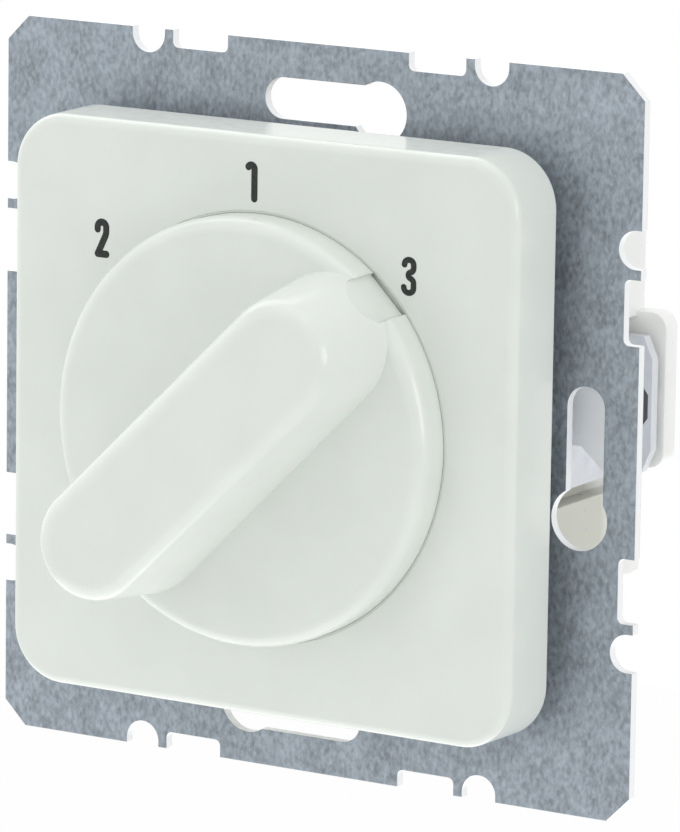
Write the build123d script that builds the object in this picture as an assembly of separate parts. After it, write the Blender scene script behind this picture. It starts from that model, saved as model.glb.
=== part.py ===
from build123d import *

import os
from math import cos, radians, sin, tan

# Three-position rotary switch insert for a flush wall box.
# X is right, Z is up and Y goes into the wall, all in millimetres.
# The origin is on the knob's axis in the wall plane, the back face of the steel frame.
# Depths are Y values, so what stands in front of the wall has a negative depth.

# Clearances
running_gap = 0.05
seat_gap = 0.02
groove_gap = 0.1
part_gap = 0.3
contact_gap = 0.05

# Support frame, stamped from sheet
frame_side = 71.0
frame_sheet = 1.0
frame_corner = 2.4
frame_opening_radius = 15.0
notch_near = 10.1
notch_far = 16.35
notch_depth = 1.7
notch_corner = 0.6
scallop_at = 19.15
scallop_radius = 1.85
scallop_depth = 2.4
slot_spacing = 60.0
slot_width = 4.0
slot_end = 3.8
keyhole_spacing = 59.0
keyhole_at = 6.95
keyhole_radius = 3.0

# Centre plate
plate_side = 56.1
plate_corner = 5.5
plate_front = -11.1
plate_back = -4.0
plate_wall = 1.8
plate_draft = 1.0
plate_edge = 1.0
plate_floor = 2.0
plate_hole_gap = 1.5
recess_depth = 0.4
recess_gap = 0.2
plate_screw_spacing = 26.0

# Knob
disc_radius = 20.55
disc_thickness = 3.85
disc_edge = 1.4
bar_centres = 28.6
bar_width = 12.9
bar_height = 9.77
bar_draft = 6.0
bar_nose_draft = 16.6
bar_slope = 4.0
bar_edge = 2.2
pointer_cut = 0.5
pointer_width = 5.0
bar_side_wall = 2.7
bar_end_wall = 3.5
pocket_corner = 2.6
hub_wall = 4.2
knob_roof = 3.0
hub_radius = 6.5
hub_length = 1.9

# Spindle and knob clip
spindle_radius = 3.0
spindle_end_gap = 0.8
knob_flat = 1.5
rotor_flat = 2.0
pilot_radius = 2.0
pilot_length = 4.9
collar_radius = 4.2
collar_thickness = 1.5
clip_sheet = 0.45
clip_width = 4.0
clip_margin = 1.0

# Rotor and detent
rotor_front = 0.6
rotor_length = 11.7
drum_radius = 12.2
star_length = 4.0
star_radius = 9.4
star_notches = 8
star_notch_radius = 2.2
star_notch_out = 1.5
leaf_sheet = 0.5
leaf_width = 3.6
leaf_nose_radius = 0.9
leaf_shoulder_gap = 2.8
leaf_shoulder_z = 2.6
leaf_half_length = 8.0
leaf_end_gap = 0.9
leaf_side_room = 3.0
leaf_depth_room = 0.6

# Moving contact and its spring
bridge_sheet = 0.8
bridge_width = 4.1
bridge_inset = 0.4
bridge_proud = 0.4
bridge_room = 2.0
tip_radius = 0.9
tip_margin = 1.4
bow_sheet = 0.3
bow_width = 3.4
bow_length = 6.6

# Housing base
base_width = 42.8
base_height = 44.0
base_depth = 26.0
base_corner = 4.5
base_edge = 0.8
chamber_side_gap = 0.8
chamber_floor_gap = 1.2
rear_recess_depth = 8.0
rear_recess_height = 23.0
side_wall = 2.2
end_wall = 1.6
rear_boss_radius = 4.5
rear_boss_drop = 6.0
channel_depth = 2.0
ear_length = 5.35
ear_height = 15.3
ear_offset = 0.85
ear_thickness = 2.2
ear_corner = 1.6
ear_gap = 0.6

# Fixed contacts and terminals
strip_sheet = 0.8
strip_width = 5.0
pad_margin = 2.2
ring_margin = 1.6
ring_hole_gap = 0.6
strip_run = 1.0
well_width = 7.8
well_height = 7.4
well_rib = 3.2
wire_slot_width = 4.4
wire_gap = 2.3
clamp_sheet = 1.0
clamp_gap = 0.4

# Front cover of the switch chamber
cover_margin = 3.4
cover_corner = 3.5
cover_flange = 2.2
cover_hub_radius = 9.0
cover_boss_radius = 3.4
spigot_gap = 0.2

# Screws
m3_radius = 1.5
m3_head_radius = 2.75
m3_head_height = 1.9
countersink = 1.5
driver_slot = 0.8
driver_slot_depth = 0.9
head_chamfer = 0.5
housing_screw_wall = 2.8
housing_screw_length = 11.2
plate_screw_length = 8.0
terminal_screw_radius = 1.75
terminal_head_radius = 3.0
terminal_head_height = 2.0
terminal_screw_tip = 2.0
claw_head_radius = 2.4
claw_screw_reach = 2.9
claw_screw_length = 9.5

# Spreading claws
claw_sheet = 1.2
claw_width = 13.4
claw_offset = -0.3
claw_front_gap = 0.4
claw_knuckle_radius = 1.2
claw_reach = 3.4
claw_swing = 12.0
trunnion_radius = 1.0
trunnion_length = 1.5
foot_y = 2.4
foot_reach = 9.8
foot_width = 6.0
foot_offset = 2.3
foot_flare = 2.7
foot_flare_length = 3.05
claw_window_length = 6.3
tip_corner = 1.0
tip_slant = 2.2
tip_rim = 0.4
tip_window_at = -0.43
tip_window_height = 4.55
tip_window_end = 2.3
tip_window_bevel = 0.85
cup_thickness = 1.4
cup_wall = 0.9

# Places in front of the wall, worked out from the sizes above
frame_front = -frame_sheet
recess_floor = plate_front + recess_depth
floor_back = recess_floor + plate_floor
disc_back = recess_floor - part_gap
disc_front = disc_back - disc_thickness
bar_top = disc_front - bar_height
hub_end = disc_back + hub_length
spindle_front = bar_top + knob_roof + spindle_end_gap
cover_front = frame_front - cover_flange
plate_hole_radius = hub_radius + plate_hole_gap

# Places behind the wall plane
rotor_back = rotor_front + rotor_length
bridge_back = rotor_back + bridge_proud
bridge_front = bridge_back - bridge_sheet
chamber_depth = rotor_back + chamber_floor_gap
chamber_radius = drum_radius + chamber_side_gap
strip_back = chamber_depth + strip_sheet
clamp_front = strip_back + wire_gap
clamp_back = clamp_front + clamp_sheet

# Detent and contact radii about the knob's axis
position_step = 360 / star_notches
star_notch_at = star_radius + star_notch_out
leaf_wall = drum_radius + leaf_side_room
bridge_near = spindle_radius + part_gap
bridge_far = drum_radius - bridge_inset
tip_near = bridge_near + tip_margin
tip_far = bridge_far - tip_margin
pad_near = tip_far - pad_margin
ring_radius = tip_near + ring_margin
ring_hole_radius = pilot_radius + ring_hole_gap

# Places across the housing
side_x = base_width / 2 - channel_depth
well_far = base_height / 2 - end_wall
well_near = well_far - well_height
terminal_at = (well_near + well_far) / 2
terminal_spacing = well_width + well_rib
tail_end = well_far - groove_gap
housing_screw_x = side_x - housing_screw_wall
housing_screw_z = leaf_half_length + leaf_end_gap + m3_radius + groove_gap
claw_pivot_x = side_x + part_gap + claw_knuckle_radius
claw_pivot_y = claw_front_gap + claw_knuckle_radius
claw_screw_x = claw_pivot_x + claw_screw_reach
cup_near = claw_width / 2 + groove_gap * 2
claw_tip_y = base_depth - ear_thickness - ear_gap - claw_sheet


def level(depth):
    """Sketch plane at a depth, seen from the front: its x is X and its y is Z."""
    return Plane((0, depth, 0), x_dir=(1, 0, 0), z_dir=(0, -1, 0))


def slab(outline, back, front, taper=0.0):
    """Solid of an outline in X and Z, from its back depth to its front depth."""
    return extrude(level(back) * outline, amount=back - front, taper=taper)


def rod(radius, back, front, x=0.0, z=0.0):
    """Round rod along Y."""
    return slab(Pos(x, z) * Circle(radius), back, front)


def seen_flat(radius, flat):
    """Round section with one flat on its right side, at the given distance from the axis."""
    keep = Pos(flat - radius, 0) * Rectangle(2 * radius, 2 * radius)
    return Circle(radius) & keep


def four_turns(outline):
    """The outline at the four sides, each a quarter turn clockwise from the last."""
    return [Rot(0, 0, -90 * side) * outline for side in range(4)]


def slotted(head, depth, x, z, radius):
    """Cut a screwdriver slot into a screw head that faces the front at this depth."""
    slot = Pos(x, z) * Rectangle(2 * radius + 1, driver_slot)
    return head - slab(slot, depth + driver_slot_depth, depth)


def pan_screw(x, z, seat, length, shank_radius, head_radius, head_height):
    """Slotted pan head screw whose head stands in front of its seat."""
    head = rod(head_radius, seat, seat - head_height, x, z)
    rim = head.faces().sort_by(Axis.Y)[0].edges()
    head = chamfer(rim, head_chamfer)
    head = slotted(head, seat - head_height, x, z, head_radius)
    return head + rod(shank_radius, seat + length, seat, x, z)


def screw_group(points, seat, length, shank_radius, head_radius, head_height):
    """Several equal screws as one compound of separate solids."""
    size = (seat, length, shank_radius, head_radius, head_height)
    return Compound(children=[pan_screw(x, z, *size) for x, z in points])


def turned(solid):
    """Turn a piece from pointing straight up to the rest position."""
    return Rot(0, position_step, 0) * solid


def opposite(solid):
    """The same piece on the other side, half a turn about the knob's axis."""
    return Rot(0, 180, 0) * solid


def corner_points(x, z):
    """Four points at the corners of a rectangle about the axis."""
    return [(sx * x, sz * z) for sx in (-1, 1) for sz in (-1, 1)]


housing_screw_points = corner_points(housing_screw_x, housing_screw_z)
plate_screw_points = [(side * plate_screw_spacing / 2, 0) for side in (-1, 1)]
claw_screw_points = [(side * claw_screw_x, side * foot_offset) for side in (-1, 1)]


def edge_notches():
    """Square notch and scallop pairs along the upper edge of the frame."""
    edge = frame_side / 2
    cuts = []
    for side in (-1, 1):
        middle = side * (notch_near + notch_far) / 2
        notch = RectangleRounded(notch_far - notch_near, 2 * notch_depth, notch_corner)
        round_depth = scallop_depth - scallop_radius
        throat = Rectangle(2 * scallop_radius, 2 * round_depth)
        cuts.append(Pos(middle, edge) * notch)
        cuts.append(Pos(side * scallop_at, edge) * throat)
        cuts.append(Pos(side * scallop_at, edge - round_depth) * Circle(scallop_radius))
    return cuts


def keyhole():
    """Keyhole slot at the top of the frame: narrow end to the left, round entry to the right."""
    run = keyhole_at + slot_end
    middle = (keyhole_at - slot_end) / 2
    narrow = Pos(middle, slot_spacing / 2) * Rectangle(run, slot_width)
    narrow += Pos(-slot_end, slot_spacing / 2) * Circle(slot_width / 2)
    return narrow + Pos(keyhole_at, keyhole_spacing / 2) * Circle(keyhole_radius)


def make_support_frame():
    """Stamped square frame with notched edges, keyholes, mechanism opening and screw holes."""
    sheet = Rectangle(frame_side, frame_side)
    sheet = chamfer(sheet.vertices(), frame_corner)
    for cut in edge_notches() + [keyhole()]:
        for placed in four_turns(cut):
            sheet -= placed
    sheet -= Circle(frame_opening_radius)
    for x, z in housing_screw_points + claw_screw_points:
        sheet -= Pos(x, z) * Circle(m3_radius + running_gap * 2)
    return slab(sheet, 0, frame_front)


def make_cover_plate():
    """Square plate moulding: drafted rim, open back, shallow recess for the knob disc."""
    outer = RectangleRounded(plate_side, plate_side, plate_corner)
    shell = slab(outer, plate_back, plate_front, taper=plate_draft)
    shell = fillet(shell.faces().sort_by(Axis.Y)[0].edges(), plate_edge)
    inner_side = plate_side - 2 * plate_wall
    inner = RectangleRounded(inner_side, inner_side, plate_corner - plate_wall)
    shell -= slab(inner, plate_back, floor_back, taper=plate_draft)
    shell -= rod(disc_radius + recess_gap, recess_floor, plate_front)
    shell -= rod(plate_hole_radius, plate_back, plate_front)
    for x, z in plate_screw_points:
        shell -= rod(m3_radius + groove_gap, floor_back, recess_floor, x, z)
        sink = Cone(m3_radius + groove_gap, m3_head_radius + seat_gap, countersink)
        shell -= Pos(x, recess_floor + countersink / 2, z) * Rot(90, 0, 0) * sink
    return shell


def make_plate_screws():
    """Two countersunk screws, flush with the recess floor."""
    screws = []
    for x, z in plate_screw_points:
        head = Pos(x, recess_floor + countersink / 2, z) * Rot(90, 0, 0)
        screw = head * Cone(m3_radius, m3_head_radius, countersink)
        screw += rod(m3_radius, recess_floor + plate_screw_length, recess_floor + countersink, x, z)
        screws.append(slotted(screw, recess_floor, x, z, m3_head_radius))
    return Compound(children=screws)


def bar_outline(rise):
    """Outline of the grip bar at a height above the disc; its pointer end leans in the most."""
    inset = rise * tan(radians(bar_draft))
    low = -bar_centres / 2
    high = bar_centres / 2 + inset - rise * tan(radians(bar_nose_draft))
    slot = SlotCenterToCenter(high - low, bar_width - 2 * inset, rotation=90)
    return Pos(0, (low + high) / 2) * slot


def make_bar():
    """Grip bar with drafted sides and a top that slopes down to the pointer end."""
    rise = bar_height + disc_radius * tan(radians(bar_slope)) + bar_edge
    foot = level(disc_front) * bar_outline(0)
    bar = loft([foot, level(disc_front - rise) * bar_outline(rise)], ruled=True)
    above = Pos(0, -frame_side / 2, 0) * Box(frame_side, frame_side, frame_side)
    bar -= Pos(0, bar_top, 0) * Rot(-bar_slope, 0, 0) * above
    return fillet(bar.faces().sort_by(Axis.Y)[0].edges(), bar_edge)


def make_knob():
    """Disc and grip bar in one moulding, hollow behind the bar, with a hub for the spindle."""
    disc = rod(disc_radius, disc_back, disc_front)
    disc = fillet(disc.faces().sort_by(Axis.Y)[0].edges(), disc_edge)
    root = slab(bar_outline(0) & Circle(disc_radius), disc_back, disc_front)
    solid = disc + root + make_bar()
    flat = disc_radius - pointer_cut
    beyond = Pos(0, flat + disc_radius / 2) * Rectangle(pointer_width, disc_radius)
    solid -= slab(beyond, disc_back, bar_top)
    roof = bar_top + knob_roof
    nose = bar_outline(disc_front - roof).bounding_box().max.Y
    pocket_near = spindle_radius + hub_wall
    pocket_width = bar_width - 2 * bar_side_wall
    for side, end in ((-1, (bar_centres + bar_width) / 2), (1, nose)):
        length = end - bar_end_wall - pocket_near
        pocket = RectangleRounded(pocket_width, length, pocket_corner)
        placed = Pos(0, side * (pocket_near + length / 2)) * pocket
        solid -= slab(placed, disc_back, roof, taper=bar_draft / 2)
    solid += rod(hub_radius, hub_end, disc_back)
    bore = seen_flat(spindle_radius + seat_gap, knob_flat + clip_sheet + seat_gap * 2)
    solid -= slab(bore, hub_end, spindle_front - part_gap)
    return turned(solid)


def make_knob_clip():
    """Flat spring between the spindle's flat and the knob's bore."""
    length = hub_end - spindle_front - 2 * clip_margin
    middle = (hub_end + spindle_front) / 2
    leaf = Box(clip_sheet, length, clip_width)
    leaf = fillet(leaf.edges().filter_by(Axis.X), clip_sheet)
    return turned(Pos(knob_flat + seat_gap + clip_sheet / 2, middle, 0) * leaf)


def make_spindle():
    """Turned shaft: rear pilot, flatted rotor seat, collar, round bearing and flatted knob end."""
    collar_front = rotor_front - collar_thickness
    shaft = rod(pilot_radius, rotor_back + pilot_length, rotor_back)
    shaft += slab(seen_flat(spindle_radius, rotor_flat), rotor_back, rotor_front)
    shaft += rod(collar_radius, rotor_front, collar_front)
    shaft += rod(spindle_radius, collar_front, hub_end)
    shaft += slab(seen_flat(spindle_radius, knob_flat), hub_end, spindle_front)
    return turned(shaft)


def make_rotor():
    """Drum with a notched detent wheel in front and a guide slot for the moving contact behind."""
    star_back = rotor_front + star_length
    star = Circle(star_radius)
    for notch in range(star_notches):
        turn = Rot(0, 0, 360 / star_notches * notch)
        star -= turn * Pos(star_notch_at, 0) * Circle(star_notch_radius)
    body = slab(star, star_back, rotor_front)
    body += rod(drum_radius, rotor_back, star_back)
    body -= slab(seen_flat(spindle_radius + seat_gap, rotor_flat + seat_gap), rotor_back, rotor_front)
    guide = Pos(0, drum_radius / 2) * Rectangle(bridge_width + 2 * groove_gap, drum_radius)
    body -= slab(guide, rotor_back, bridge_front - bridge_room)
    return turned(body)


def make_contact_bridge():
    """Moving contact: a strip with two tips, one on the common ring and one on a pad."""
    middle = (bridge_near + bridge_far) / 2
    strip = RectangleRounded(bridge_width, bridge_far - bridge_near, tip_radius)
    body = slab(Pos(0, middle) * strip, bridge_back, bridge_front)
    for at in (tip_near, tip_far):
        body += rod(tip_radius, chamber_depth - contact_gap, bridge_back, 0, at)
    return turned(body)


def make_bridge_spring():
    """Bowed leaf between the floor of the rotor's slot and the moving contact."""
    middle = (bridge_near + bridge_far) / 2
    low = bridge_front - bridge_room + bow_sheet / 2
    high = bridge_front - bow_sheet / 2 - seat_gap
    bow = ThreePointArc(
        (middle - bow_length / 2, -low),
        (middle, -high),
        (middle + bow_length / 2, -low),
    )
    across = Plane((-bow_width / 2, 0, 0), x_dir=(0, 0, 1), z_dir=(1, 0, 0))
    return turned(extrude(across * trace(bow, line_width=bow_sheet), amount=bow_width))


def leaf_outline():
    """Bow-shaped detent leaf on the right side: two arms and a nose that enters a notch."""
    bottom = star_notch_at - star_notch_radius
    tip = bottom + groove_gap * 2 + leaf_sheet / 2
    end_x = leaf_wall - leaf_sheet / 2 - groove_gap
    vertex = tip - leaf_nose_radius / 2
    leaf_shoulder = star_radius + leaf_shoulder_gap
    path = FilletPolyline(
        (end_x, -leaf_half_length),
        (leaf_shoulder, -leaf_shoulder_z),
        (vertex, 0),
        (leaf_shoulder, leaf_shoulder_z),
        (end_x, leaf_half_length),
        radius=leaf_nose_radius,
    )
    return trace(path, line_width=leaf_sheet)


def make_detent_spring():
    """Leaf spring of the right side."""
    middle = rotor_front + star_length / 2
    return slab(leaf_outline(), middle + leaf_width / 2, middle - leaf_width / 2)


def strip_outlines():
    """Outlines of the fixed contacts, by name, each running from its pad to its terminal."""
    upright = Pos(0, (pad_near + tail_end) / 2) * Rectangle(strip_width, tail_end - pad_near)
    slant = sin(radians(position_step))
    rise = cos(radians(position_step))
    elbow = terminal_at - strip_width
    start = pad_near - strip_run * 2
    knee = tip_far + strip_run
    outlines = {"1": upright}
    for name, side in (("2", -1), ("3", 1)):
        path = Polyline(
            (side * start * slant, start * rise),
            (side * knee * slant, knee * rise),
            (side * terminal_spacing, elbow),
            (side * terminal_spacing, tail_end),
        )
        outlines[name] = trace(path, line_width=strip_width) - Circle(pad_near)
    ring = Circle(ring_radius)
    tail_run = tail_end - ring_hole_radius
    ring += Pos(0, -tail_end + tail_run / 2) * Rectangle(strip_width, tail_run)
    outlines["common"] = ring - Circle(ring_hole_radius)
    return outlines


terminal_points = {
    "1": (0, terminal_at),
    "2": (-terminal_spacing, terminal_at),
    "3": (terminal_spacing, terminal_at),
    "common": (0, -terminal_at),
}


def make_contacts():
    """Four stamped contacts that lie in grooves of the chamber floor."""
    contacts = {}
    for name, outline in strip_outlines().items():
        x, z = terminal_points[name]
        flat = outline - Pos(x, z) * Circle(terminal_screw_radius + seat_gap)
        contacts["contact_" + name] = slab(flat, strip_back, chamber_depth)
    return contacts


def make_terminals():
    """Wire clamp plate and screw of each terminal; the screws are driven from the back."""
    pieces = {}
    for name, (x, z) in terminal_points.items():
        plate = RectangleRounded(well_width - 2 * clamp_gap, well_height - 2 * clamp_gap, part_gap)
        plate -= Circle(terminal_screw_radius + groove_gap)
        pieces["terminal_clamp_" + name] = slab(Pos(x, z) * plate, clamp_back, clamp_front)
        head = rod(terminal_head_radius, clamp_back + terminal_head_height, clamp_back, x, z)
        head = chamfer(head.faces().sort_by(Axis.Y)[-1].edges(), head_chamfer)
        top = clamp_back + terminal_head_height
        slot = Pos(x, z) * Rectangle(2 * terminal_head_radius + 1, driver_slot)
        head -= slab(slot, top, top - driver_slot_depth)
        tip = chamber_depth - terminal_screw_tip
        pieces["terminal_screw_" + name] = head + rod(terminal_screw_radius, clamp_back, tip, x, z)
    return pieces


def make_ear():
    """Block beside the claw's tip on the right side, which keeps the folded claw from being bent."""
    run = ear_length + side_wall
    middle = side_x - side_wall + run / 2
    block = Pos(middle, ear_offset) * RectangleRounded(run, ear_height, ear_corner)
    return slab(block, base_depth, base_depth - ear_thickness)


def make_claw_cups():
    """Two open cups on the right side wall, in which the claw's trunnions turn."""
    reach = claw_pivot_x + trunnion_radius + cup_wall
    depth = claw_pivot_y + trunnion_radius + cup_wall
    cups = Part()
    for side in (-1, 1):
        middle = claw_offset + side * (cup_near + cup_thickness / 2)
        block = Box(reach - side_x, depth, cup_thickness)
        cup = Pos((reach + side_x) / 2, depth / 2, middle) * block
        pin = Cylinder(trunnion_radius + running_gap, cup_thickness)
        way_in = Box(2 * (trunnion_radius + running_gap), claw_pivot_y, cup_thickness)
        cup -= Pos(claw_pivot_x, claw_pivot_y, middle) * pin
        cup -= Pos(claw_pivot_x, claw_pivot_y / 2, middle) * way_in
        cups += cup
    return cups


def make_housing_base():
    """Rear moulding: claw channels, rotor chamber, contact grooves, terminal wells, ears and cups."""
    outline = chamfer(Rectangle(base_width, base_height).vertices(), base_corner)
    channel = Rectangle(2 * channel_depth, 2 * (cup_near + cup_thickness))
    channel = Pos(base_width / 2, claw_offset) * channel
    outline -= channel
    outline -= Rot(0, 0, 180) * channel
    body = slab(outline, base_depth, 0)
    body = fillet(body.faces().sort_by(Axis.Y)[-1].edges(), base_edge)
    body -= rod(chamber_radius, chamber_depth, 0)
    leaf_room = Rectangle(2 * leaf_wall, 2 * (leaf_half_length + leaf_end_gap))
    body -= slab(leaf_room, rotor_front + star_length + leaf_depth_room, 0)
    recess = Rectangle(2 * (side_x - side_wall), rear_recess_height)
    body -= slab(recess, base_depth, base_depth - rear_recess_depth)
    body += rod(rear_boss_radius, base_depth - rear_boss_drop, base_depth - rear_recess_depth)
    body -= rod(pilot_radius + running_gap, rotor_back + pilot_length + part_gap, chamber_depth)
    for groove in strip_outlines().values():
        body -= slab(offset(groove, groove_gap), strip_back, chamber_depth)
    for name, (x, z) in terminal_points.items():
        side = 1 if z > 0 else -1
        well_middle = side * (well_near + well_far) / 2
        well = Pos(x, well_middle) * RectangleRounded(well_width, well_far - well_near, part_gap)
        body -= slab(well, base_depth, strip_back)
        wall = base_height / 2 - well_near
        wire_slot = Pos(x, side * (well_near + wall / 2)) * Rectangle(wire_slot_width, wall)
        body -= slab(wire_slot, base_depth, strip_back)
        tip_room = chamber_depth - terminal_screw_tip - part_gap
        body -= rod(terminal_screw_radius + groove_gap, strip_back, tip_room, x, z)
    for x, z in housing_screw_points:
        bottom = cover_front + housing_screw_length + part_gap
        body -= rod(m3_radius + seat_gap, bottom, 0, x, z)
    for extra in (make_ear(), make_claw_cups()):
        body += extra
        body += opposite(extra)
    return body


def make_bearing_cover():
    """Front moulding: flange on the frame, spigot in its opening, spindle bush, plate bosses."""
    cover_width = 2 * (housing_screw_x + cover_margin)
    cover_height = 2 * (housing_screw_z + cover_margin)
    body = slab(RectangleRounded(cover_width, cover_height, cover_corner), frame_front, cover_front)
    body += rod(frame_opening_radius - spigot_gap, 0, frame_front)
    body += rod(cover_hub_radius, cover_front, floor_back)
    for x, z in plate_screw_points:
        body += rod(cover_boss_radius, cover_front, floor_back, x, z)
    for x, z in plate_screw_points:
        bottom = recess_floor + plate_screw_length + groove_gap
        body -= rod(m3_radius + seat_gap, bottom, floor_back, x, z)
    for x, z in housing_screw_points:
        body -= rod(m3_radius + groove_gap, frame_front, cover_front, x, z)
    body -= rod(spindle_radius + running_gap, 0, floor_back)
    body -= rod(collar_radius + part_gap, 0, rotor_front - collar_thickness - part_gap)
    return body


def foot_slot():
    """Near and far end of the foot's slot, so that the claw swings past its fixed screw."""
    turn = radians(claw_swing)
    reach = claw_screw_x - claw_pivot_x
    height = foot_y + claw_sheet / 2 - claw_pivot_y
    along = (height - reach * sin(turn)) / cos(turn)
    swung = reach * cos(turn) - along * sin(turn)
    lean = m3_radius / cos(turn) + claw_sheet / 2 * tan(turn)
    near = claw_pivot_x + swung - lean - part_gap
    return near, claw_screw_x + m3_radius + part_gap


def foot_outline():
    """Foot of the right claw: a slotted tongue whose lower corner flares out at the end."""
    end = claw_pivot_x + foot_reach
    low = foot_offset - foot_width / 2
    outline = Pos((claw_pivot_x + end) / 2, foot_offset) * Rectangle(foot_reach, foot_width)
    outline += Polygon(
        (end - foot_flare_length, low),
        (end, low - foot_flare),
        (end, low),
        align=None,
    )
    near, far = foot_slot()
    slot = SlotOverall(far - near, 2 * (m3_radius + part_gap))
    return outline - Pos((near + far) / 2, foot_offset) * slot


def tip_outline():
    """Tip of the right claw: slanted outer corners and a window behind its outer edge."""
    end = claw_pivot_x + claw_reach
    high = claw_offset + claw_width / 2
    low = claw_offset - claw_width / 2
    outline = Polygon(
        (claw_pivot_x, low),
        (end - tip_corner, low),
        (end, low + tip_slant),
        (end, high - tip_slant),
        (end - tip_corner, high),
        (claw_pivot_x, high),
        align=None,
    )
    near = claw_pivot_x + claw_sheet
    far = end - tip_rim
    wide = tip_window_height / 2
    slim = tip_window_end / 2
    window = Polygon(
        (near, -wide),
        (far - tip_window_bevel, -wide),
        (far, -slim),
        (far, slim),
        (far - tip_window_bevel, wide),
        (near, wide),
        align=None,
    )
    return outline - Pos(0, tip_window_at) * window


def make_claw():
    """Right claw: rolled knuckle with trunnions, arm with a window, slotted foot and tip."""
    arm_length = claw_tip_y + claw_sheet - claw_pivot_y
    arm = Pos(claw_pivot_x, claw_pivot_y + arm_length / 2, claw_offset)
    claw = arm * Box(claw_sheet, arm_length, claw_width)
    window_middle = foot_y + claw_sheet + claw_window_length / 2
    window = Box(2 * claw_sheet, claw_window_length, foot_width)
    claw -= Pos(claw_pivot_x, window_middle, foot_offset) * window
    hinge = Cylinder(claw_knuckle_radius, claw_width)
    hinge += Cylinder(trunnion_radius, claw_width + 2 * trunnion_length)
    claw += Pos(claw_pivot_x, claw_pivot_y, claw_offset) * hinge
    claw += slab(foot_outline(), foot_y + claw_sheet, foot_y)
    claw += slab(tip_outline(), claw_tip_y + claw_sheet, claw_tip_y)
    return claw


def make_claw_screw():
    """Right claw screw, its head on the front of the frame."""
    size = (frame_front, claw_screw_length, m3_radius, claw_head_radius, m3_head_height)
    return pan_screw(claw_screw_x, foot_offset, *size)


def make_pieces():
    """Every piece by its node name."""
    claw = make_claw()
    claw_screw = make_claw_screw()
    leaf = make_detent_spring()
    head = (m3_radius, m3_head_radius, m3_head_height)
    pieces = {
        "support_frame": make_support_frame(),
        "housing_base": make_housing_base(),
        "bearing_cover": make_bearing_cover(),
        "housing_screws": screw_group(housing_screw_points, cover_front, housing_screw_length, *head),
        "cover_plate": make_cover_plate(),
        "plate_screws": make_plate_screws(),
        "detent_spring_right": leaf,
        "detent_spring_left": opposite(leaf),
        "claw_right": claw,
        "claw_left": opposite(claw),
        "claw_screw_right": claw_screw,
        "claw_screw_left": opposite(claw_screw),
        "knob": make_knob(),
        "knob_clip": make_knob_clip(),
        "spindle": make_spindle(),
        "rotor": make_rotor(),
        "contact_bridge": make_contact_bridge(),
        "bridge_spring": make_bridge_spring(),
    }
    pieces.update(make_contacts())
    pieces.update(make_terminals())
    return pieces


os.makedirs("parts", exist_ok=True)
for node, solid in make_pieces().items():
    export_step(solid, "parts/" + node + ".step")
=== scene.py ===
"""Looks of a three-position rotary switch insert, dressed on its packed construction.

X is right, Z is up and Y goes into the wall. Lengths are in metres, most of them written as
millimetres times MM. The origin is on the knob's axis in the wall plane.
"""

import logging
import math
from dataclasses import dataclass
from enum import Enum
from functools import lru_cache
from typing import Iterable

import bmesh
import bpy
from bmesh.types import BMEdge, BMesh, BMVert
from bpy.types import Material, Mesh, Node, NodeSocket, Object
from mathutils import Matrix, Vector


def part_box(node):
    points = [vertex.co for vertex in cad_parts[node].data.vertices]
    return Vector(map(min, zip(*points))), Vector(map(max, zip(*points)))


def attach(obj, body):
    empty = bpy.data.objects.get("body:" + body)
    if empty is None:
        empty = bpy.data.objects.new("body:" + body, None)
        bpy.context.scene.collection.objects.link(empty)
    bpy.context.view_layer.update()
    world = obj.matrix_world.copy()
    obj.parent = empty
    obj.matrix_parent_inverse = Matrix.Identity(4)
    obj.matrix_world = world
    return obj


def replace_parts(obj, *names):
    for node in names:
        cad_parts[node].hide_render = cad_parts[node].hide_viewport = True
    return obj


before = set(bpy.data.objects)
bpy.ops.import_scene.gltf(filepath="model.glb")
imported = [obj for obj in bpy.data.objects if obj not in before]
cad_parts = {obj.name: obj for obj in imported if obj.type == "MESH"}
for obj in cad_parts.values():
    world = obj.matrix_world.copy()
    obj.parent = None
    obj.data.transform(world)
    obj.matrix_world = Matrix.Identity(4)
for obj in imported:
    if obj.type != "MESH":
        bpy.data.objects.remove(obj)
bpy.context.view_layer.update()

MM = 0.001
FIXED_BODY = "insert"
SMOOTH_ANGLE = 30.0

Colour = tuple[float, float, float]
Point = tuple[float, float, float]
Stretch = tuple[float, float, float]

log = logging.getLogger("switch")


class Turn(Enum):
    """Ways in which a numeral's pen goes on."""

    AHEAD = 0
    LEFT = 1
    RIGHT = -1
    CORNER = 2


class HeadSide(Enum):
    """Side of the insert that a screw's head looks to, as a sign on Y."""

    FRONT = -1
    BACK = 1


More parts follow.
